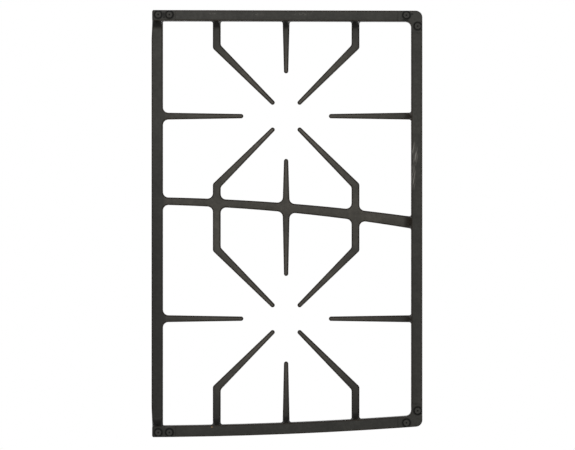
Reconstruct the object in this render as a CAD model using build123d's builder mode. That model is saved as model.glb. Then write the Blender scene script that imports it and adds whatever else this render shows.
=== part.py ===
from build123d import *
from math import copysign, sqrt
import os

# Cast-iron pan support for two burners of a wide hob, with eight rubber foot pads.
# +Y points to the rear of the hob, +X to the neighbouring pan support, +Z up.
# The origin is under the middle of the outline, at the height of the hob plate.

os.makedirs("parts", exist_ok=True)

# Overall outline
width = 298.0
length = 470.0
rear_skew = 0.9
front_bow_middle = 3.5
front_bow_side = 12.2

# Rails
inner_rail_width = 12.6
outer_rail_width = 12.6
rear_rail_width = 12.6
front_rail_width = 13.1
end_block_inset = 0.8
end_block_land = 2.0
end_block_ramp = 18.0
end_block_blend = 80.0

# Middle rail: centre line and width at the inner side, the middle and the outer side
middle_rail_y = (25.0, 17.4, -0.8)
middle_rail_width = (8.3, 10.0, 13.6)

# Burners and their supports
burner_x = 0.9
rear_burner_y = 118.2
front_burner_y = -104.6
finger_tip_radius = 47.0
finger_root_width = 7.9
finger_tip_width = 4.9
limb_tip_radius = 18.6
limb_tip_width = 4.9
limb_leg_width = 8.7
limb_leg_offset = 76.3

# Rounding in plan
outer_corner_radius = 7.4
outer_opening_radius = 6.0
inner_corner_radius = 2.4
inner_opening_radius = 1.2
level_root_radius = 6.0
deep_root_radius = 2.0
bend_radius = 5.0

# Heights above the hob plate
land_height = 1.2
rail_height = 2.4
recess_height = 15.0
parting_height = 21.0
top_height = 27.0

# Moulding
draft_angle = 1.5
top_edge_bevel = 1.3
under_edge_bevel = 1.3
land_edge_bevel = 0.8
cove_foot_height = 3.0
cove_sink = 1.0
cove_rise = 0.15
root_bite = 4.0
root_inset = 0.15
end_root_inset = 0.4

# Corner foot lands and the pads in them
land_arm = 26.5
land_leg = 24.5
pad_inset = 5.6
pad_side_inset = 5.2
pad_first = 7.2
pad_pitch = 12.3
pad_corner_setback = 17.5
seat_diameter = 8.8
seat_depth = 1.0
seat_clearance = 0.7
stem_diameter = 4.8
stem_clearance = 0.1
stem_length = 6.0
stem_end_gap = 1.0
stem_lead = 0.6
pad_flat_diameter = 6.2
dimple_diameter = 1.7
dimple_depth = 0.9

half_width = width / 2
half_length = length / 2
inner_opening_x = half_width - inner_rail_width
outer_opening_x = outer_rail_width - half_width
end_block_x = half_width - end_block_inset
cove_radius = recess_height - cove_foot_height


def bowed_edge(y_inner, y_middle, y_outer):
    """Arc across the whole width, from the outer side to the inner side."""
    return ThreePointArc((-half_width, y_outer), (0, y_middle), (half_width, y_inner))


def straight_edge(y_inner, y_outer):
    """Line across the whole width, from the outer side to the inner side."""
    return Line((-half_width, y_outer), (half_width, y_inner))


def y_on(edge, x):
    """Y of a straight or bowed edge at x."""
    if edge.geom_type == GeomType.LINE:
        return (edge @ ((x + half_width) / width)).Y
    centre = edge.arc_center
    rise = sqrt(edge.radius**2 - (x - centre.X) ** 2)
    return centre.Y + copysign(rise, (edge @ 0).Y - centre.Y)


def stretch(edge, x_start, x_end):
    """Part of a straight or bowed edge from one x to another."""
    start, end = ((x, y_on(edge, x)) for x in (x_start, x_end))
    if edge.geom_type == GeomType.LINE:
        return Line(start, end)
    x_middle = (x_start + x_end) / 2
    return ThreePointArc(start, (x_middle, y_on(edge, x_middle)), end)


rear_y = (half_length, half_length - rear_skew)
front_y = (-half_length, front_bow_middle - half_length, front_bow_side - half_length)
rear_edge = straight_edge(*rear_y)
front_edge = bowed_edge(*front_y)
rear_inside = straight_edge(*(y - rear_rail_width for y in rear_y))
front_inside = bowed_edge(*(y + front_rail_width for y in front_y))
middle_rear = bowed_edge(*(y + w / 2 for y, w in zip(middle_rail_y, middle_rail_width)))
middle_front = bowed_edge(*(y - w / 2 for y, w in zip(middle_rail_y, middle_rail_width)))

rear_ramp_y = half_length - rear_rail_width - end_block_land
front_ramp_y = front_rail_width + end_block_land - half_length

# Each burner has an opening of its own, between a rail behind it and a rail before it
burners = (
    (rear_burner_y, rear_inside, middle_rear),
    (front_burner_y, middle_front, front_inside),
)


def tapered_bar(start, end, start_width, end_width):
    """Plan of a straight bar with round ends and tapering sides."""
    with BuildSketch(mode=Mode.PRIVATE) as bar:
        with Locations(start):
            Circle(start_width / 2)
        with Locations(end):
            Circle(end_width / 2)
        make_hull()
    return bar.sketch


def fingers(burner_y, rear_side, front_side):
    """The four straight fingers of a burner, rooted half a root width inside the rails."""
    tip = finger_tip_radius + finger_tip_width / 2
    root = finger_root_width / 2
    ends = (
        ((inner_opening_x + root, burner_y), (burner_x + tip, burner_y)),
        ((outer_opening_x - root, burner_y), (burner_x - tip, burner_y)),
        ((burner_x, y_on(rear_side, burner_x) + root), (burner_x, burner_y + tip)),
        ((burner_x, y_on(front_side, burner_x) - root), (burner_x, burner_y - tip)),
    )
    return [tapered_bar(start, end, finger_root_width, finger_tip_width) for start, end in ends]


def limbs(burner_y, rear_side, front_side):
    """The four bent limbs: a leg along the rails, then a taper to the burner centre."""
    tip = (limb_tip_radius + limb_tip_width / 2) * sqrt(0.5)
    bars = []
    for side in (1, -1):
        x = burner_x + side * limb_leg_offset
        for end, rail in ((1, rear_side), (-1, front_side)):
            root = (x, y_on(rail, x) + end * limb_leg_width / 2)
            bend = (x, burner_y + end * limb_leg_offset)
            point = (burner_x + side * tip, burner_y + end * tip)
            bars.append(tapered_bar(root, bend, limb_leg_width, limb_leg_width))
            bars.append(tapered_bar(bend, point, limb_leg_width, limb_tip_width))
    return bars


def at_x(vertices, x):
    """Vertices in line with one side of the frame."""
    return ShapeList(v for v in vertices if abs(v.X - x) < 0.1)


def on_edge(vertices, edge):
    """Vertices on an edge of a rail, clear of the side rails."""
    clear = [v for v in vertices if outer_opening_x + 1 < v.X < inner_opening_x - 1]
    return ShapeList(v for v in clear if abs(v.Y - y_on(edge, v.X)) < 0.1)


def ends_of(vertices):
    """The foremost and the rearmost vertex."""
    ordered = vertices.sort_by(Axis.Y)
    return ShapeList([ordered[0], ordered[-1]])


def inner_of(vertices):
    """All the vertices but the foremost and the rearmost."""
    return ShapeList(vertices.sort_by(Axis.Y)[1:-1])


def bends_of(vertices):
    """The inner corner of each limb, where its leg turns into the taper."""
    found = ShapeList()
    for burner_y, _, _ in burners:
        for side in (1, -1):
            for end in (1, -1):
                corner = Vector(
                    burner_x + side * (limb_leg_offset - limb_leg_width / 2),
                    burner_y + end * limb_leg_offset,
                )
                found.append(vertices.sort_by_distance(corner)[0])
    return found


# Outline of the casting. Between its end blocks the inner rail stands a little further out.
with BuildSketch() as outline:
    with BuildLine():
        rear_line = stretch(rear_edge, -half_width, end_block_x)
        Polyline(
            rear_line @ 1,
            (end_block_x, rear_ramp_y),
            (half_width, rear_ramp_y - end_block_ramp),
            (half_width, front_ramp_y + end_block_ramp),
            (end_block_x, front_ramp_y),
            (end_block_x, y_on(front_edge, end_block_x)),
        )
        front_line = stretch(front_edge, end_block_x, -half_width)
        Line(front_line @ 1, rear_line @ 0)
    make_face()
    fillet(at_x(outline.vertices(), half_width), end_block_blend)
    fillet(inner_of(at_x(outline.vertices(), end_block_x)), end_block_blend)
    fillet(at_x(outline.vertices(), -half_width), outer_corner_radius)
    fillet(ends_of(at_x(outline.vertices(), end_block_x)), inner_corner_radius)

# Plan of the deep rails, which run round the rear, the outer side and the front
with BuildSketch() as deep_plan:
    with BuildLine():
        rear_line = stretch(rear_edge, -half_width, end_block_x)
        rear_return = stretch(rear_inside, end_block_x, outer_opening_x)
        front_return = stretch(front_inside, outer_opening_x, end_block_x)
        front_line = stretch(front_edge, end_block_x, -half_width)
        Line(rear_line @ 1, rear_return @ 0)
        Line(rear_return @ 1, front_return @ 0)
        Line(front_return @ 1, front_line @ 0)
        Line(front_line @ 1, rear_line @ 0)
    make_face()
    fillet(at_x(deep_plan.vertices(), -half_width), outer_corner_radius)
    fillet(at_x(deep_plan.vertices(), outer_opening_x), outer_opening_radius)
    fillet(at_x(deep_plan.vertices(), end_block_x), inner_corner_radius)

# Plan of the whole grid: all rails, with the fingers and limbs blended into them
with BuildSketch() as grid_plan:
    add(outline.sketch)
    for _, rear_side, front_side in burners:
        with BuildLine():
            rear_line = stretch(rear_side, outer_opening_x, inner_opening_x)
            front_line = stretch(front_side, inner_opening_x, outer_opening_x)
            Line(rear_line @ 1, front_line @ 0)
            Line(front_line @ 1, rear_line @ 0)
        make_face(mode=Mode.SUBTRACT)
    for burner in burners:
        add(fingers(*burner))
        add(limbs(*burner))
    level_roots = inner_of(at_x(grid_plan.vertices(), inner_opening_x))
    level_roots += on_edge(grid_plan.vertices(), middle_rear)
    level_roots += on_edge(grid_plan.vertices(), middle_front)
    fillet(level_roots, level_root_radius)
    deep_roots = inner_of(at_x(grid_plan.vertices(), outer_opening_x))
    deep_roots += on_edge(grid_plan.vertices(), rear_inside)
    deep_roots += on_edge(grid_plan.vertices(), front_inside)
    fillet(deep_roots, deep_root_radius)
    fillet(bends_of(grid_plan.vertices()), bend_radius)
    fillet(ends_of(at_x(grid_plan.vertices(), outer_opening_x)), outer_opening_radius)
    fillet(ends_of(at_x(grid_plan.vertices(), inner_opening_x)), inner_opening_radius)


def moulded(plan, height, edge_bevel):
    """The casting on one side of the parting plane, drafted, with its far edges bevelled."""
    rise = height - parting_height
    parting = Plane(origin=(0, 0, parting_height), z_dir=(0, 0, rise))
    with BuildPart() as half:
        with BuildSketch(Plane.XY.offset(parting_height)):
            add(plan)
        extrude(amount=rise)
        sides = half.faces().filter_by(lambda face: abs(face.normal_at().Z) < 0.5)
        draft(sides, parting, draft_angle)
        far_face = half.faces().sort_by(Axis.Z)[-1 if rise > 0 else 0]
        chamfer(far_face.edges(), edge_bevel)
    return half.part


def scooped_root(corners, rail_point, normal):
    """Deep root of a bar: its under side sweeps down into the rail in a quarter round.

    The corners are the bar's plan there, and the normal points from the rail along the bar.
    """
    centre = rail_point + normal * (cove_radius - cove_sink)
    across = normal.cross(Vector(0, 0, 1))
    with BuildPart() as root:
        with BuildSketch(Plane.XY.offset(cove_foot_height)):
            Polygon(*corners, align=None)
        extrude(amount=parting_height - cove_foot_height)
        sides = root.faces().filter_by(lambda face: abs(face.normal_at().dot(across)) > 0.5)
        draft(sides, Plane(origin=(0, 0, parting_height), z_dir=(0, 0, -1)), draft_angle)
        axis_point = (centre.X, centre.Y, cove_foot_height + cove_rise)
        with BuildSketch(Plane(origin=axis_point, x_dir=normal, z_dir=across)):
            Circle(cove_radius)
        extrude(amount=outer_rail_width * 2, both=True, mode=Mode.SUBTRACT)
        scoop = root.faces().filter_by(GeomType.CYLINDER).sort_by(SortBy.AREA)[-1]
        rims = scoop.edges().filter_by(lambda edge: abs(edge.tangent_at(0.5).dot(across)) < 0.5)
        chamfer(rims, under_edge_bevel)
    return root.part


def straight_root(rail_point, normal, rail_width, far_width, reach):
    """Scooped root of a finger or a leg, whose width changes evenly over its reach."""
    across = normal.cross(Vector(0, 0, 1))

    def corner(distance, side):
        share = (distance + rail_width / 2) / reach
        half = (rail_width + (far_width - rail_width) * share) / 2 - root_inset
        point = rail_point + normal * distance + across * (side * half)
        return (point.X, point.Y)

    start = cove_radius - cove_sink
    corners = (corner(-root_bite, 1), corner(start, 1), corner(start, -1), corner(-root_bite, -1))
    return scooped_root(corners, rail_point, normal)


# Roots under every bar that meets a deep rail
deep_root_parts = []
finger_end = finger_tip_radius + finger_tip_width / 2
for burner_y in (rear_burner_y, front_burner_y):
    reach = burner_x - finger_end - outer_opening_x + finger_root_width / 2
    point = Vector(outer_opening_x, burner_y)
    sizes = (finger_root_width, finger_tip_width, reach)
    deep_root_parts.append(straight_root(point, Vector(1, 0), *sizes))
for burner_y, rail, end in ((rear_burner_y, rear_inside, 1), (front_burner_y, front_inside, -1)):
    for x in (burner_x, burner_x + limb_leg_offset, burner_x - limb_leg_offset):
        point = Vector(x, y_on(rail, x))
        if x == burner_x:
            reach = abs(point.Y - burner_y) - finger_end + finger_root_width / 2
            sizes = (finger_root_width, finger_tip_width, reach)
        else:
            sizes = (limb_leg_width, limb_leg_width, limb_leg_offset)
        deep_root_parts.append(straight_root(point, Vector(0, -end), *sizes))
    point = Vector(inner_opening_x, y_on(rail, inner_opening_x))
    start_y = point.Y - end * (cove_radius - cove_sink)
    bite_y = point.Y + end * root_bite
    corners = (
        (inner_opening_x + end_root_inset, bite_y),
        (inner_opening_x + end_root_inset, start_y),
        (end_block_x - end_root_inset, start_y),
        (end_block_x - end_root_inset, bite_y),
    )
    deep_root_parts.append(scooped_root(corners, point, Vector(0, -end)))
start_x = outer_opening_x + cove_radius - cove_sink
bite_x = outer_opening_x - root_bite
corners = (
    (bite_x, y_on(middle_rear, outer_opening_x) - root_inset),
    (start_x, y_on(middle_rear, start_x) - root_inset),
    (start_x, y_on(middle_front, start_x) + root_inset),
    (bite_x, y_on(middle_front, outer_opening_x) + root_inset),
)
point = Vector(outer_opening_x, y_on(middle_rear, outer_opening_x))
deep_root_parts.append(scooped_root(corners, point, Vector(1, 0)))

# Deep rails: corner lands, which carry the foot pads, and a little higher spans between them
with BuildSketch(Plane.XY) as between_lands:
    Rectangle(width - 2 * land_arm, 2 * length)
    rear_end = y_on(rear_edge, -half_width) - land_leg
    front_end = y_on(front_edge, -half_width) + land_leg
    with Locations((0, (rear_end + front_end) / 2)):
        Rectangle(2 * width, rear_end - front_end)

with BuildPart() as lands:
    add(moulded(deep_plan.sketch, land_height, land_edge_bevel))
    extrude(between_lands.sketch, 2 * parting_height, both=True, mode=Mode.SUBTRACT)

with BuildPart() as spans:
    add(moulded(deep_plan.sketch, rail_height, under_edge_bevel))
    extrude(between_lands.sketch, 2 * parting_height, both=True, mode=Mode.INTERSECT)

rear_pad_x = (
    end_block_x - pad_first,
    end_block_x - pad_first - pad_pitch,
    pad_corner_setback - half_width,
)
pad_centres = {}
for end, edge, sign in (("rear", rear_edge, 1), ("front", front_edge, -1)):
    for place, x in zip(("inner_corner", "inner_next", "outer_rail"), rear_pad_x):
        pad_centres[f"pad_{end}_{place}"] = (x, y_on(edge, x) - sign * pad_inset)
    corner_y = y_on(edge, -half_width)
    side_centre = (pad_side_inset - half_width, corner_y - sign * pad_corner_setback)
    pad_centres[f"pad_{end}_outer_side"] = side_centre

with BuildPart() as grate_casting:
    add(spans.part)
    add(moulded(grid_plan.sketch, recess_height, under_edge_bevel))
    add(moulded(grid_plan.sketch, top_height, top_edge_bevel))
    add(lands.part)
    for root_part in deep_root_parts:
        add(root_part)
    seats = [Location((x, y, land_height), (180, 0, 0)) for x, y in pad_centres.values()]
    with Locations(*seats):
        CounterBoreHole(
            stem_diameter / 2 + stem_clearance,
            seat_diameter / 2,
            seat_depth,
            seat_depth + stem_length + stem_end_gap,
        )
grate_casting.part.label = "grate_casting"
export_step(grate_casting.part, "parts/grate_casting.step")

# Rubber foot pads: a flat-topped button with a dimple, on a stem pressed into the casting
seat_height = land_height + seat_depth
for name, (x, y) in pad_centres.items():
    with BuildPart() as pad:
        with BuildSketch(Plane(origin=(x, y, 0), x_dir=(1, 0, 0), z_dir=(0, -1, 0))):
            with BuildLine():
                head = seat_diameter / 2 - seat_clearance
                stem = stem_diameter / 2
                stem_top = seat_height + stem_length
                Polyline(
                    (0, dimple_depth),
                    (dimple_diameter / 2, dimple_depth),
                    (dimple_diameter / 2, 0),
                    (pad_flat_diameter / 2, 0),
                    (head, land_height),
                    (head, seat_height),
                    (stem, seat_height),
                    (stem, stem_top - stem_lead),
                    (stem - stem_lead, stem_top),
                    (0, stem_top),
                    close=True,
                )
            make_face()
        revolve(axis=Axis((x, y, 0), (0, 0, 1)))
    pad.part.label = name
    export_step(pad.part, f"parts/{name}.step")
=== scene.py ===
"""Finishes a cast-iron hob pan support: its satin enamel, its rubber foot pads, a stage and a camera."""

import math

import bpy
from bpy.props import FloatProperty, FloatVectorProperty, PointerProperty
from bpy.types import Operator, Panel, PropertyGroup
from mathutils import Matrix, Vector


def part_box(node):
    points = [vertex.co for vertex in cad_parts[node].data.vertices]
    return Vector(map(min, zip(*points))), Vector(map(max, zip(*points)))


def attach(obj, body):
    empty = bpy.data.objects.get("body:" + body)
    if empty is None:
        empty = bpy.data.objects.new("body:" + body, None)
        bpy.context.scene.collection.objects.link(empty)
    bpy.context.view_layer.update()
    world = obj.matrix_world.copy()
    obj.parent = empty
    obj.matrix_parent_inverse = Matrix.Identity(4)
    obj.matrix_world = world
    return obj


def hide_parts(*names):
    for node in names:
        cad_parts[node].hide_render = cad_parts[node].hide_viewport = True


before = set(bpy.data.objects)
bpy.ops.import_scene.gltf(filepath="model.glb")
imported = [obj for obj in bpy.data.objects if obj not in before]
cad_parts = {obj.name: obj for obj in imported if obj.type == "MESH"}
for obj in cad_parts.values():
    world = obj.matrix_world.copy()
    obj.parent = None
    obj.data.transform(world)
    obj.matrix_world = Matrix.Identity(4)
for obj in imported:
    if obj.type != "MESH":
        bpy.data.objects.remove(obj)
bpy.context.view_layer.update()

bl_info = {
    "name": "Hob Pan Support",
    "version": (1, 0, 0),
    "blender": (4, 5, 0),
    "location": "3D View > Sidebar > Pan Support",
    "description": "Enamel, foot pads, stage and camera for a cast-iron hob pan support",
    "category": "Object",
}

CASTING = "grate_casting"
PAD_NODES = sorted(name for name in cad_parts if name.startswith("pad_"))

# The photograph: its size in pixels, and how it maps to the frame's x and y in metres
PHOTO_WIDTH = 575
PHOTO_HEIGHT = 450
METRES_PER_PIXEL = 0.0011
PHOTO_CENTRE = (-0.001, -0.00154)

# Heights of the casting, the side of its inner rail and the middles of the burners, in metres
PARTING_HEIGHT = 0.021
RECESS_HEIGHT = 0.015
INNER_RAIL_X = 0.1364
BURNERS = ((0.0009, 0.1182), (0.0009, -0.1046))

# Where a surface counts as a bevel, which gets a painted highlight, or a side, which gets painted shade,
# by how level it is
BEVEL_LEVELS = (0.99, 0.96)
BEVEL_HIGHLIGHT_STRENGTH = 0.5
SIDE_LEVELS = (0.99, 0.8)

# Heights over which the tones of the recessed bars, the painted shade in the coves, and the marks of
# wear, dirt and painted shade start and end
RECESS_START = (RECESS_HEIGHT - 0.006, RECESS_HEIGHT - 0.001)
RECESS_END = (RECESS_HEIGHT + 0.002, RECESS_HEIGHT + 0.003)
COVE_START = (0.0035, 0.0055)
COVE_END = (RECESS_HEIGHT - 0.0012, RECESS_HEIGHT - 0.0001)
WEAR_END = (0.004, 0.008)

# The recessed bars are palest round the burners, and half as pale at the middle rail
BURNER_REACH = (0.142, 0.142)
BURNER_RIM = 0.2
MIDDLE_BARS = (0.02, 0.045)
MIDDLE_PALENESS = 0.5

# The painted shade in the coves is deepest at the rear and front rails, and weaker at the outer rail
COVE_DEEPENS = (0.17, 0.2)
SIDE_COVE_SHARE = 0.35

# Painted shade: all bars darken towards the front, the inner rail most, and the legs towards both ends
INNER_RAIL_FADE = (INNER_RAIL_X - 0.004, INNER_RAIL_X)
FRONT_DARKENS = (0.13, -0.06)
FRONT_SHADE = 0.4
OTHER_BARS_SHARE = 0.35
LEGS_DARKEN = (0.165, 0.2)
LEG_SHADE = 0.35

# Sizes, details and spreads of the uneven tones of the enamel
ENAMEL_TONES = ((0.07, 2, 0.14), (0.012, 3, 0.12), (0.0032, 4, 0.16))
SPECK_SPREAD = 0.12
NOISE_RANGE = (0.3, 0.7)
SHEEN = 0.15

# The sand-cast surface: heights of its grain and its waves, and the size of a wave
GRAIN_HEIGHT = 0.00005
WAVE_HEIGHT = 0.00022
WAVE_SIZE = 0.006

# Marks that the photograph shows, at its pixels: centre, and half width and half height
SCUFFS = ((414.5, 154, 3.4, 13), (412.8, 177, 3, 14))
CHIP = (212, 426.6, 1.1, 0.8)
WORN_SPOTS = ((157.6, 213, 2, 1.4), (212.5, 14, 5, 1.2), (258, 15, 8, 2), (300, 14.5, 12, 2))
# Dark spots of dirt and painted shade by the rear pads
GRIME_AND_SHADE_SPOTS = ((164, 14.8, 1.9, 2.6), (164.3, 17.5, 1.6, 1.6), (405, 21, 4.5, 2.2), (411.6, 14.6, 1.6, 1.4))
MARK_RIM = 0.5
CHIP_ROUGHNESS = 0.85

# Scratches lean from the rail's own direction and are drawn out along it
SCRATCH_LEAN = math.radians(10)
SCRATCH_STRETCH = 22
SCRATCH_SIZE = 0.0007
SCRATCH_RANGE = (0.52, 0.6)
HAZE_STRENGTH = 0.1

# Flecks at the rubbed spots
FLECK_SIZE = 0.0014
FLECK_RANGE = (0.5, 0.62)
FLECK_STRENGTH = 0.45

# The ring of dirt and painted shade that fills each pad's seat
SEAT_REACH = (0.0057, 0.0057)
SEAT_RIM = 0.86

# The pad's profile in metres: its dimple, its cone up to the full radius, its button and its stem
DIMPLE_FLOOR_SHARE = 0.7
DIMPLE_WALL_SHARE = 0.75
DIMPLE_ROUNDING = 0.00015
SHOULDER_START = 0.5
SHOULDER_RISE = 0.15
CONE_SPREAD = 0.0004
CONE_HEIGHT = 0.0007
FULL_RADIUS_HEIGHT = 0.0013
BUTTON_HEIGHT = 0.0022
STEM_RADIUS = 0.0024
STEM_END_RADIUS = 0.0018
STEM_LEAD = 0.0006
PAD_SIDES = 48
# Painted shade on a pad: the heights over which it deepens, and its tone up the flank and in the dimple
DIMPLE_SHADE = (0.0001, 0.0006)
FLANK_SHADE = 0.25

# Meshes: how near two corners are merged, and the largest angle that is shaded softly
MERGE_DISTANCE = 0.000002
CASTING_SMOOTH_ANGLE = math.radians(60)
PAD_SMOOTH_ANGLE = math.radians(40)

# The stage: the floor just under the pads, a soft lamp, three suns and the camera's own numbers
FLOOR_HEIGHT = -0.0002
KEY_PLACE = (0.14, 0.42, -0.85)
KEY_AIM = (0.02, 0.05, 0)
KEY_SIZE = 0.7
KEY_SHARE = 0.6
SUN_ANGLE = math.radians(40)
SUNS = (
    ("under_fill", (-0.6, -0.2, -1.0), 0.35),
    ("over_key", (-0.6, -0.7, 1.0), 0.7),
    ("over_fill", (0.8, 0.5, 0.9), 0.3),
)
SENSOR_WIDTH = 36
FAR_CLIP = 100


class EnamelSettings(PropertyGroup):
    flat_colour: FloatVectorProperty(
        name="Flat Colour",
        description="Enamel on the faces that were level in the mould",
        subtype="COLOR",
        size=3,
        min=0,
        max=1,
        default=(0.0325, 0.0315, 0.0275),
    )
    # Painted shade on the drafted sides, with a browner tint
    shaded_side_colour: FloatVectorProperty(
        name="Side Colour",
        description="Thinner, browner enamel on the drafted sides",
        subtype="COLOR",
        size=3,
        min=0,
        max=1,
        default=(0.019, 0.0145, 0.0098),
    )
    # Painted highlight along the bevelled edges
    edge_highlight_colour: FloatVectorProperty(
        name="Edge Colour",
        description="Enamel rubbed paler along the bevelled edges",
        subtype="COLOR",
        size=3,
        min=0,
        max=1,
        default=(0.044, 0.042, 0.037),
    )
    recess_colour: FloatVectorProperty(
        name="Recess Colour",
        description="Paler enamel on the recessed bars",
        subtype="COLOR",
        size=3,
        min=0,
        max=1,
        default=(0.081, 0.073, 0.06),
    )
    # Painted shade in the coves where bars meet the deep rails
    cove_shade_colour: FloatVectorProperty(
        name="Cove Colour",
        description="Thick dark enamel in the coves where bars meet the deep rails",
        subtype="COLOR",
        size=3,
        min=0,
        max=1,
        default=(0.005, 0.0042, 0.0028),
    )
    # Dirt and painted shade in the pads' seats and at the dark spots
    grime_and_shade_colour: FloatVectorProperty(
        name="Grime Colour",
        description="Dark grime in the seats and round the pads",
        subtype="COLOR",
        size=3,
        min=0,
        max=1,
        default=(0.004, 0.0038, 0.0025),
    )
    chip_colour: FloatVectorProperty(
        name="Chip Colour",
        description="Rust-coloured ground coat where the enamel is chipped",
        subtype="COLOR",
        size=3,
        min=0,
        max=1,
        default=(0.24, 0.15, 0.08),
    )
    scuff_colour: FloatVectorProperty(
        name="Scuff Colour",
        description="Pale metal rubbed off on the outer rail",
        subtype="COLOR",
        size=3,
        min=0,
        max=1,
        default=(0.2, 0.19, 0.17),
    )
    roughness: FloatProperty(
        name="Roughness",
        description="Mean roughness of the satin enamel",
        subtype="FACTOR",
        min=0,
        max=1,
        default=0.5,
    )
    grain: FloatProperty(
        name="Grain",
        description="Size of the sand-cast grain",
        subtype="DISTANCE",
        min=0.0001,
        max=0.01,
        default=0.0009,
    )


class PadSettings(PropertyGroup):
    shoulder: FloatProperty(
        name="Shoulder",
        description="Rounding of a pad's shoulder",
        subtype="DISTANCE",
        min=0,
        max=0.001,
        default=0.0005,
    )
    flat_radius: FloatProperty(
        name="Flat Radius",
        description="Radius of the flat ring that a pad stands on",
        subtype="DISTANCE",
        min=0.001,
        max=0.01,
        default=0.0031,
    )
    dimple_radius: FloatProperty(
        name="Dimple Radius",
        description="Radius of the dimple in a pad",
        subtype="DISTANCE",
        min=0.0002,
        max=0.002,
        default=0.00095,
    )
    dimple_depth: FloatProperty(
        name="Dimple Depth",
        description="Depth of the dimple in a pad",
        subtype="DISTANCE",
        min=0.0001,
        max=0.002,
        default=0.0009,
    )
    colour: FloatVectorProperty(
        name="Colour",
        description="Rubber of the pads",
        subtype="COLOR",
        size=3,
        min=0,
        max=1,
        default=(0.038, 0.037, 0.033),
    )


class StageSettings(PropertyGroup):
    camera_distance: FloatProperty(
        name="Camera Distance",
        description="Distance of the camera below the hob plate",
        subtype="DISTANCE",
        min=1,
        max=20,
        default=8.0,
    )
    camera_side: FloatProperty(
        name="Camera Side",
        description="Where the camera stands across the support",
        subtype="DISTANCE",
        min=-2,
        max=2,
        default=-0.149,
    )
    lamp_strength: FloatProperty(
        name="Lamp Strength",
        description="Share of the plain light level that the lamps give, the rest being the world's",
        subtype="FACTOR",
        min=0,
        max=1,
        default=0.5,
    )
    floor_size: FloatProperty(
        name="Floor Size",
        description="Side of the square floor",
        subtype="DISTANCE",
        min=1,
        max=100,
        default=40,
    )
    floor_colour: FloatVectorProperty(
        name="Floor Colour",
        description="Pale floor",
        subtype="COLOR",
        size=3,
        min=0,
        max=1,
        default=(0.92, 0.92, 0.91),
    )


def from_photo(px, py):
    """Place in the frame, on the underside, that a pixel of the photograph shows."""
    x = (PHOTO_WIDTH / 2 - px) * METRES_PER_PIXEL + PHOTO_CENTRE[0]
    y = (PHOTO_HEIGHT / 2 - py) * METRES_PER_PIXEL + PHOTO_CENTRE[1]
    return Vector((x, y, 0))


def only(piece):
    """Makes a piece the one selected and active object."""
    bpy.ops.object.select_all(action="DESELECT")
    piece.select_set(True)
    bpy.context.view_layer.objects.active = piece


def new_tree(material):
    """An empty node tree with a shader and an output, ready for links."""
    material.use_nodes = True
    tree = material.node_tree
    tree.nodes.clear()
    shader = tree.nodes.new("ShaderNodeBsdfPrincipled")
    output = tree.nodes.new("ShaderNodeOutputMaterial")
    tree.links.new(shader.outputs["BSDF"], output.inputs["Surface"])
    return tree, shader


def noise(tree, coordinates, size, detail):
    """A noise of features about the given size in metres, as its factor socket."""
    node = tree.nodes.new("ShaderNodeTexNoise")
    node.inputs["Scale"].default_value = 1 / size
    node.inputs["Detail"].default_value = detail
    tree.links.new(coordinates, node.inputs["Vector"])
    return node.outputs["Fac"]


def ranged(tree, value, source, result=(0, 1)):
    """A value mapped from one range to another, and kept in it."""
    node = tree.nodes.new("ShaderNodeMapRange")
    node.clamp = True
    names = ("From Min", "From Max", "To Min", "To Max")
    for name, number in zip(names, (*source, *result)):
        node.inputs[name].default_value = number
    tree.links.new(value, node.inputs["Value"])
    return node.outputs["Result"]


def varied(tree, coordinates, size, detail, middle, spread):
    """A value that varies round its middle, with features about the given size in metres."""
    value = noise(tree, coordinates, size, detail)
    return ranged(tree, value, NOISE_RANGE, (middle - spread, middle + spread))


def maths(tree, operation, *values):
    """One or two values put through one operation."""
    node = tree.nodes.new("ShaderNodeMath")
    node.operation = operation
    for socket, value in zip(node.inputs, values):
        if isinstance(value, (int, float)):
            socket.default_value = value
        else:
            tree.links.new(value, socket)
    return node.outputs["Value"]


def chained(tree, operation, values):
    """Several values joined in turn by one operation."""
    total = values[0]
    for value in values[1:]:
        total = maths(tree, operation, total, value)
    return total


def product(tree, *values):
    return chained(tree, "MULTIPLY", values)


def most(tree, *values):
    return chained(tree, "MAXIMUM", values)


def remainder(tree, value):
    return maths(tree, "SUBTRACT", 1, value)


def mixed(tree, factor, below, above, blend="MIX"):
    """Two colours mixed by a factor."""
    node = tree.nodes.new("ShaderNodeMix")
    node.data_type = "RGBA"
    node.blend_type = blend
    colours = [socket for socket in node.inputs if socket.type == "RGBA"]
    for socket, value in zip([node.inputs["Factor"], *colours], (factor, below, above)):
        if isinstance(value, (int, float)):
            socket.default_value = value
        elif isinstance(value, bpy.types.NodeSocket):
            tree.links.new(value, socket)
        else:
            socket.default_value = (*value, 1)
    return next(socket for socket in node.outputs if socket.type == "RGBA")


def object_coordinates(tree):
    return tree.nodes.new("ShaderNodeTexCoord").outputs["Object"]


def axis_of(tree, vector, axis):
    """One coordinate of a vector, named by its axis."""
    separate = tree.nodes.new("ShaderNodeSeparateXYZ")
    tree.links.new(vector, separate.inputs["Vector"])
    return separate.outputs[axis]


def levelness(tree, normal):
    """1 on a level face and 0 on an upright side, by the face's true or its softened normal."""
    geometry = tree.nodes.new("ShaderNodeNewGeometry")
    return maths(tree, "ABSOLUTE", axis_of(tree, geometry.outputs[normal], "Z"))


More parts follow.
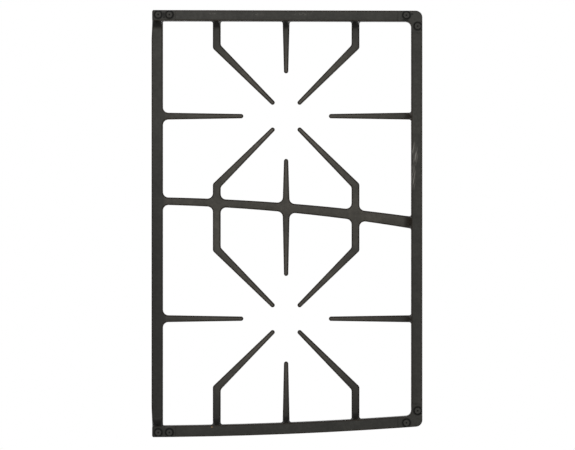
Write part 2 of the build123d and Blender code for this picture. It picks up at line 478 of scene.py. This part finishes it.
def near(tree, coordinates, place, reach, rim):
    """1 round an upright axis at a place, falling to 0 at its reach across and along.

    The fall starts at the rim, a share of the reach.
    """
    mapping = tree.nodes.new("ShaderNodeMapping")
    scale = (1 / reach[0], 1 / reach[1], 0)
    mapping.inputs["Scale"].default_value = scale
    mapping.inputs["Location"].default_value = (-place[0] * scale[0], -place[1] * scale[1], 0)
    length = tree.nodes.new("ShaderNodeVectorMath")
    length.operation = "LENGTH"
    tree.links.new(coordinates, mapping.inputs["Vector"])
    tree.links.new(mapping.outputs["Vector"], length.inputs[0])
    return ranged(tree, length.outputs["Value"], (rim, 1), (1, 0))


def marks(tree, coordinates, spots, rim):
    """The most of several marks, each given by its pixel and its half sizes in pixels."""
    masks = []
    for px, py, across, along in spots:
        reach = (across * METRES_PER_PIXEL, along * METRES_PER_PIXEL)
        masks.append(near(tree, coordinates, from_photo(px, py), reach, rim))
    return most(tree, *masks)


def toned(tree, colour, tone):
    """A colour multiplied by a grey value."""
    grey = tree.nodes.new("ShaderNodeCombineColor")
    for socket in grey.inputs:
        tree.links.new(tone, socket)
    return mixed(tree, 1, colour, grey.outputs["Color"], "MULTIPLY")


def bumped(tree, height, distance=1.0):
    """A normal bumped by a height, in metres where the distance is 1."""
    bump = tree.nodes.new("ShaderNodeBump")
    bump.inputs["Distance"].default_value = distance
    tree.links.new(height, bump.inputs["Height"])
    return bump.outputs["Normal"]


def pad_centre(node):
    low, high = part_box(node)
    return ((low[0] + high[0]) / 2, (low[1] + high[1]) / 2)


def from_middle(tree, place):
    """How far a point lies to the rear or the front of the support's middle."""
    return maths(tree, "ABSOLUTE", axis_of(tree, place, "Y"))


def inner_rail_mask(tree, place):
    return ranged(tree, axis_of(tree, place, "X"), INNER_RAIL_FADE)


def recess_mask(tree, place):
    """The undersides of the recessed bars, but not the inner rail's."""
    height = axis_of(tree, place, "Z")
    by_burners = [near(tree, place, middle, BURNER_REACH, BURNER_RIM) for middle in BURNERS]
    by_middle = ranged(tree, from_middle(tree, place), MIDDLE_BARS, (MIDDLE_PALENESS, 0))
    return product(
        tree,
        ranged(tree, height, RECESS_START),
        ranged(tree, height, RECESS_END, (1, 0)),
        remainder(tree, inner_rail_mask(tree, place)),
        most(tree, *by_burners, by_middle),
    )


def cove_shade_mask(tree, place):
    """Painted shade in the coves where bars meet the deep rails, between the rails' faces and the bars'
    faces.
    """
    height = axis_of(tree, place, "Z")
    return product(
        tree,
        ranged(tree, height, COVE_START),
        ranged(tree, height, COVE_END, (1, 0)),
        ranged(tree, from_middle(tree, place), COVE_DEEPENS, (SIDE_COVE_SHARE, 1)),
    )


def painted_shade_tone(tree, place):
    """Painted shade as a tone of 1 or less: darker towards the front, and on the legs towards both ends.
    """
    inner_rail = inner_rail_mask(tree, place)
    front = product(
        tree,
        ranged(tree, axis_of(tree, place, "Y"), FRONT_DARKENS, (0, FRONT_SHADE)),
        ranged(tree, inner_rail, (0, 1), (OTHER_BARS_SHARE, 1)),
    )
    legs = product(
        tree,
        ranged(tree, from_middle(tree, place), LEGS_DARKEN, (0, LEG_SHADE)),
        remainder(tree, inner_rail),
        ranged(tree, axis_of(tree, place, "Z"), RECESS_START),
    )
    return product(tree, remainder(tree, front), remainder(tree, legs))


def unevenness(tree, place, grain):
    """A tone that varies round 1, from broad clouds to specks of the grain's size."""
    tones = [varied(tree, place, size, detail, 1, spread) for size, detail, spread in ENAMEL_TONES]
    return product(tree, *tones, varied(tree, place, grain, 2, 1, SPECK_SPREAD))


def grime_and_shade_mask(tree, place):
    """Dirt and painted shade in the seats round the pads, and at the marked spots."""
    rings = [near(tree, place, pad_centre(node), SEAT_REACH, SEAT_RIM) for node in PAD_NODES]
    return most(tree, *rings, marks(tree, place, GRIME_AND_SHADE_SPOTS, MARK_RIM))


def scratches(tree, place):
    """Slanting scratches, from a noise drawn out along them."""
    mapping = tree.nodes.new("ShaderNodeMapping")
    mapping.vector_type = "TEXTURE"
    mapping.inputs["Rotation"].default_value = (0, 0, SCRATCH_LEAN)
    mapping.inputs["Scale"].default_value = (1, SCRATCH_STRETCH, 1)
    tree.links.new(place, mapping.inputs["Vector"])
    return ranged(tree, noise(tree, mapping.outputs["Vector"], SCRATCH_SIZE, 2), SCRATCH_RANGE)


def scuff_mask(tree, place):
    """Scratches over a faint haze on the outer rail, and flecks at the rubbed spots."""
    area = marks(tree, place, SCUFFS, MARK_RIM)
    flecks = ranged(tree, noise(tree, place, FLECK_SIZE, 3), FLECK_RANGE, (0, FLECK_STRENGTH))
    return most(
        tree,
        product(tree, area, scratches(tree, place)),
        product(tree, area, HAZE_STRENGTH),
        product(tree, marks(tree, place, WORN_SPOTS, 0), flecks),
    )


def enamel(settings):
    """Satin vitreous enamel over sand-cast iron."""
    material = bpy.data.materials.new("satin_enamel")
    tree, shader = new_tree(material)
    place = object_coordinates(tree)
    # Painted highlight along the bevels, and painted shade on the drafted sides, from their normals
    bevel = ranged(tree, levelness(tree, "Normal"), BEVEL_LEVELS, (0, BEVEL_HIGHLIGHT_STRENGTH))
    side = ranged(tree, levelness(tree, "True Normal"), SIDE_LEVELS)
    low = ranged(tree, axis_of(tree, place, "Z"), WEAR_END, (1, 0))
    # Dirt and painted shade in the seats and spots, kept to the lowest faces
    grime_and_shade = product(tree, grime_and_shade_mask(tree, place), low)
    scuff = product(tree, scuff_mask(tree, place), low)
    chip = product(tree, marks(tree, place, (CHIP,), MARK_RIM), low)

    colour = mixed(tree, recess_mask(tree, place), settings.flat_colour, settings.recess_colour)
    colour = mixed(tree, bevel, colour, settings.edge_highlight_colour)
    colour = mixed(tree, side, colour, settings.shaded_side_colour)
    colour = mixed(tree, cove_shade_mask(tree, place), colour, settings.cove_shade_colour)
    # Painted shade towards the front and on the legs, times the enamel's uneven tones
    tone = product(tree, painted_shade_tone(tree, place), unevenness(tree, place, settings.grain))
    colour = toned(tree, colour, tone)
    colour = mixed(tree, grime_and_shade, colour, settings.grime_and_shade_colour)
    colour = mixed(tree, scuff, colour, settings.scuff_colour)
    colour = mixed(tree, chip, colour, settings.chip_colour)
    tree.links.new(colour, shader.inputs["Base Color"])

    satin = varied(tree, place, size=0.006, detail=4, middle=settings.roughness, spread=0.07)
    rough = most(tree, satin, product(tree, chip, CHIP_ROUGHNESS))
    tree.links.new(rough, shader.inputs["Roughness"])
    shader.inputs["Specular IOR Level"].default_value = SHEEN

    grain = product(tree, noise(tree, place, settings.grain, 3), GRAIN_HEIGHT)
    waves = product(tree, noise(tree, place, WAVE_SIZE, 2), WAVE_HEIGHT)
    tree.links.new(bumped(tree, maths(tree, "ADD", grain, waves)), shader.inputs["Normal"])
    return material


def pad_rubber(settings):
    """Matt black rubber with a fine moulded skin, and painted shade in its dimple and up its flank."""
    material = bpy.data.materials.new("pad_rubber")
    tree, shader = new_tree(material)
    place = object_coordinates(tree)
    tone = varied(tree, place, size=0.0012, detail=3, middle=1, spread=0.18)
    # Painted shade, darker with height into the dimple and up the flank
    depth = ranged(tree, axis_of(tree, place, "Z"), DIMPLE_SHADE, (1, FLANK_SHADE))
    colour = toned(tree, settings.colour, product(tree, tone, depth))
    tree.links.new(colour, shader.inputs["Base Color"])
    rough = varied(tree, place, size=0.001, detail=2, middle=0.67, spread=0.07)
    tree.links.new(rough, shader.inputs["Roughness"])
    shader.inputs["Specular IOR Level"].default_value = SHEEN
    skin = noise(tree, place, size=0.0005, detail=2)
    tree.links.new(bumped(tree, skin, distance=0.00002), shader.inputs["Normal"])
    return material


class PANSUPPORT_OT_casting(Operator):
    """Joins the casting's faces, shades them softly over the bevels and enamels them"""

    bl_idname = "pansupport.casting"
    bl_label = "Enamelled Casting"

    def execute(self, context):
        only(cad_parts[CASTING])
        bpy.ops.object.duplicate()
        casting = context.active_object
        casting.name = "enamelled_casting"
        bpy.ops.object.mode_set(mode="EDIT")
        bpy.ops.mesh.select_all(action="SELECT")
        bpy.ops.mesh.remove_doubles(threshold=MERGE_DISTANCE)
        bpy.ops.object.mode_set(mode="OBJECT")
        bpy.ops.mesh.customdata_custom_splitnormals_clear()
        bpy.ops.object.shade_smooth_by_angle(angle=CASTING_SMOOTH_ANGLE)
        bpy.ops.object.modifier_add(type="WEIGHTED_NORMAL")
        casting.modifiers[-1].keep_sharp = True
        bpy.ops.object.modifier_apply(modifier=casting.modifiers[-1].name)
        casting.data.materials.clear()
        casting.data.materials.append(enamel(context.scene.pansupport_enamel))
        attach(casting, "root")
        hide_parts(CASTING)
        return {"FINISHED"}


class PANSUPPORT_OT_pads(Operator):
    """Models one rubber foot pad and copies it to every seat of the casting"""

    bl_idname = "pansupport.pads"
    bl_label = "Foot Pads"

    def execute(self, context):
        settings = context.scene.pansupport_pads
        material = pad_rubber(settings)
        pattern = self.model(settings, *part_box(PAD_NODES[0]))
        pattern.data.materials.append(material)
        for node in PAD_NODES:
            self.place(pattern, node)
        only(pattern)
        bpy.ops.object.delete()
        return {"FINISHED"}

    def model(self, settings, low, high):
        """A pad over the origin: a round-shouldered button with a dimple, on a stem."""
        radius = (high[0] - low[0]) / 2
        flat_edge = settings.flat_radius - settings.shoulder * SHOULDER_START
        rings = (
            (settings.dimple_radius, settings.dimple_depth * DIMPLE_WALL_SHARE),
            (settings.dimple_radius, DIMPLE_ROUNDING),
            (settings.dimple_radius + DIMPLE_ROUNDING, 0),
            (flat_edge, 0),
            (settings.flat_radius, settings.shoulder * SHOULDER_RISE),
            (settings.flat_radius + CONE_SPREAD, CONE_HEIGHT),
            (radius, FULL_RADIUS_HEIGHT),
            (radius, BUTTON_HEIGHT),
            (STEM_RADIUS, BUTTON_HEIGHT),
            (STEM_RADIUS, high[2] - STEM_LEAD),
            (STEM_END_RADIUS, high[2]),
        )
        last_radius = settings.dimple_radius * DIMPLE_FLOOR_SHARE
        last_height = settings.dimple_depth
        bpy.ops.object.select_all(action="DESELECT")
        bpy.ops.mesh.primitive_circle_add(
            vertices=PAD_SIDES, radius=last_radius, fill_type="NGON", location=(0, 0, last_height)
        )
        pad = bpy.context.active_object
        bpy.ops.object.mode_set(mode="EDIT")
        bpy.ops.mesh.select_mode(type="EDGE")
        bpy.ops.mesh.select_all(action="SELECT")
        for ring_radius, height in rings:
            bpy.ops.mesh.extrude_edges_move(
                TRANSFORM_OT_translate={
                    "value": (0, 0, height - last_height),
                    "orient_type": "GLOBAL",
                }
            )
            scale = ring_radius / last_radius
            bpy.ops.transform.resize(value=(scale, scale, 1), center_override=(0, 0, 0))
            last_radius = ring_radius
            last_height = height
        bpy.ops.mesh.edge_face_add()
        bpy.ops.mesh.select_all(action="SELECT")
        bpy.ops.mesh.normals_make_consistent(inside=False)
        bpy.ops.object.mode_set(mode="OBJECT")
        bpy.ops.object.shade_smooth_by_angle(angle=PAD_SMOOTH_ANGLE)
        bpy.ops.object.transform_apply(location=True, rotation=True, scale=True)
        return pad

    def place(self, pattern, node):
        """A copy of the pad in its seat, with its place in its own mesh."""
        only(pattern)
        bpy.ops.object.duplicate()
        pad = bpy.context.active_object
        pad.name = node.replace("pad_", "foot_pad_")
        pad.location = (*pad_centre(node), 0)
        bpy.ops.object.transform_apply(location=True, rotation=True, scale=True)
        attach(pad, "root")
        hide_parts(node)


class PANSUPPORT_OT_stage(Operator):
    """Sets the pale floor, the soft light and the camera under the support"""

    bl_idname = "pansupport.stage"
    bl_label = "Stage"

    def execute(self, context):
        settings = context.scene.pansupport_stage
        self.floor(settings)
        self.world(context.scene, settings)
        self.lamps(settings)
        self.camera(context.scene, settings)
        context.scene.view_settings.view_transform = "Standard"
        return {"FINISHED"}

    def floor(self, settings):
        """A pale floor that shows from above only, because the photograph looks from below."""
        bpy.ops.object.select_all(action="DESELECT")
        bpy.ops.mesh.primitive_plane_add(size=settings.floor_size, location=(0, 0, FLOOR_HEIGHT))
        floor = bpy.context.active_object
        floor.name = "floor"
        bpy.ops.object.transform_apply(location=True, rotation=True, scale=True)
        material = bpy.data.materials.new("pale_floor")
        material.use_nodes = True
        tree = material.node_tree
        tree.nodes.clear()
        pale = tree.nodes.new("ShaderNodeBsdfDiffuse")
        pale.inputs["Color"].default_value = (*settings.floor_colour, 1)
        clear = tree.nodes.new("ShaderNodeBsdfTransparent")
        path = tree.nodes.new("ShaderNodeLightPath")
        geometry = tree.nodes.new("ShaderNodeNewGeometry")
        front = remainder(tree, geometry.outputs["Backfacing"])
        shown = product(tree, front, path.outputs["Is Camera Ray"])
        mix = tree.nodes.new("ShaderNodeMixShader")
        output = tree.nodes.new("ShaderNodeOutputMaterial")
        tree.links.new(shown, mix.inputs["Fac"])
        tree.links.new(clear.outputs["BSDF"], mix.inputs[1])
        tree.links.new(pale.outputs["BSDF"], mix.inputs[2])
        tree.links.new(mix.outputs["Shader"], output.inputs["Surface"])
        floor.data.materials.append(material)

    def world(self, scene, settings):
        """White for the camera and in reflections, and a plain soft level of light otherwise."""
        world = bpy.data.worlds.new("studio")
        scene.world = world
        world.use_nodes = True
        tree = world.node_tree
        tree.nodes.clear()
        soft = tree.nodes.new("ShaderNodeBackground")
        soft.inputs["Color"].default_value = (1, 1, 1, 1)
        soft.inputs["Strength"].default_value = 1 - settings.lamp_strength
        white = tree.nodes.new("ShaderNodeBackground")
        white.inputs["Color"].default_value = (1, 1, 1, 1)
        white.inputs["Strength"].default_value = 1
        path = tree.nodes.new("ShaderNodeLightPath")
        rays = ("Is Camera Ray", "Is Glossy Ray", "Is Transmission Ray")
        seen = most(tree, *(path.outputs[name] for name in rays))
        mix = tree.nodes.new("ShaderNodeMixShader")
        output = tree.nodes.new("ShaderNodeOutputWorld")
        tree.links.new(seen, mix.inputs["Fac"])
        tree.links.new(soft.outputs["Background"], mix.inputs[1])
        tree.links.new(white.outputs["Background"], mix.inputs[2])
        tree.links.new(mix.outputs["Shader"], output.inputs["Surface"])

    def lamps(self, settings):
        """Two soft lamps below the support and two above it."""
        key = bpy.data.lights.new("under_key", "AREA")
        key.size = KEY_SIZE
        key.energy = math.pi**2 * settings.lamp_strength * KEY_SHARE
        self.lamp(key, KEY_PLACE, KEY_AIM)
        for name, side, share in SUNS:
            sun = bpy.data.lights.new(name, "SUN")
            sun.energy = math.pi * settings.lamp_strength * share
            sun.angle = SUN_ANGLE
            self.lamp(sun, side, (0, 0, 0))

    def lamp(self, data, place, aim):
        """A lamp at a place, shining at a point."""
        lamp = bpy.data.objects.new(data.name, data)
        bpy.context.scene.collection.objects.link(lamp)
        lamp.location = place
        lamp.rotation_euler = (Vector(place) - Vector(aim)).to_track_quat("Z", "Y").to_euler()
        lamp.visible_camera = False

    def camera(self, scene, settings):
        """The photograph's view: from far below, nearly square on, the rear of the hob up."""
        data = bpy.data.cameras.new("camera")
        camera = bpy.data.objects.new("camera", data)
        scene.collection.objects.link(camera)
        scene.camera = camera
        aim = from_photo(PHOTO_WIDTH / 2, PHOTO_HEIGHT / 2)
        camera.location = (settings.camera_side, aim.y, -settings.camera_distance)
        reach = math.hypot(aim.x - settings.camera_side, settings.camera_distance + PARTING_HEIGHT)
        turn = math.atan2(aim.x - settings.camera_side, settings.camera_distance)
        camera.rotation_euler = (0, math.pi + turn, 0)
        data.sensor_width = SENSOR_WIDTH
        data.lens = data.sensor_width * reach / (PHOTO_WIDTH * METRES_PER_PIXEL)
        data.clip_end = FAR_CLIP


class PANSUPPORT_PT_panel(Panel):
    bl_label = "Pan Support"
    bl_idname = "PANSUPPORT_PT_panel"
    bl_space_type = "VIEW_3D"
    bl_region_type = "UI"
    bl_category = "Pan Support"

    def draw(self, context):
        sections = (
            (context.scene.pansupport_enamel, PANSUPPORT_OT_casting),
            (context.scene.pansupport_pads, PANSUPPORT_OT_pads),
            (context.scene.pansupport_stage, PANSUPPORT_OT_stage),
        )
        for settings, operator in sections:
            box = self.layout.box()
            for name in settings.__annotations__:
                box.prop(settings, name)
            box.operator(operator.bl_idname)


CLASSES = (
    EnamelSettings,
    PadSettings,
    StageSettings,
    PANSUPPORT_OT_casting,
    PANSUPPORT_OT_pads,
    PANSUPPORT_OT_stage,
    PANSUPPORT_PT_panel,
)


def register():
    for cls in CLASSES:
        bpy.utils.register_class(cls)
    bpy.types.Scene.pansupport_enamel = PointerProperty(type=EnamelSettings)
    bpy.types.Scene.pansupport_pads = PointerProperty(type=PadSettings)
    bpy.types.Scene.pansupport_stage = PointerProperty(type=StageSettings)


def unregister():
    del bpy.types.Scene.pansupport_stage
    del bpy.types.Scene.pansupport_pads
    del bpy.types.Scene.pansupport_enamel
    for cls in reversed(CLASSES):
        bpy.utils.unregister_class(cls)


def main():
    register()
    bpy.ops.pansupport.casting()
    bpy.ops.pansupport.pads()
    bpy.ops.pansupport.stage()


if __name__ == "__main__":
    main()
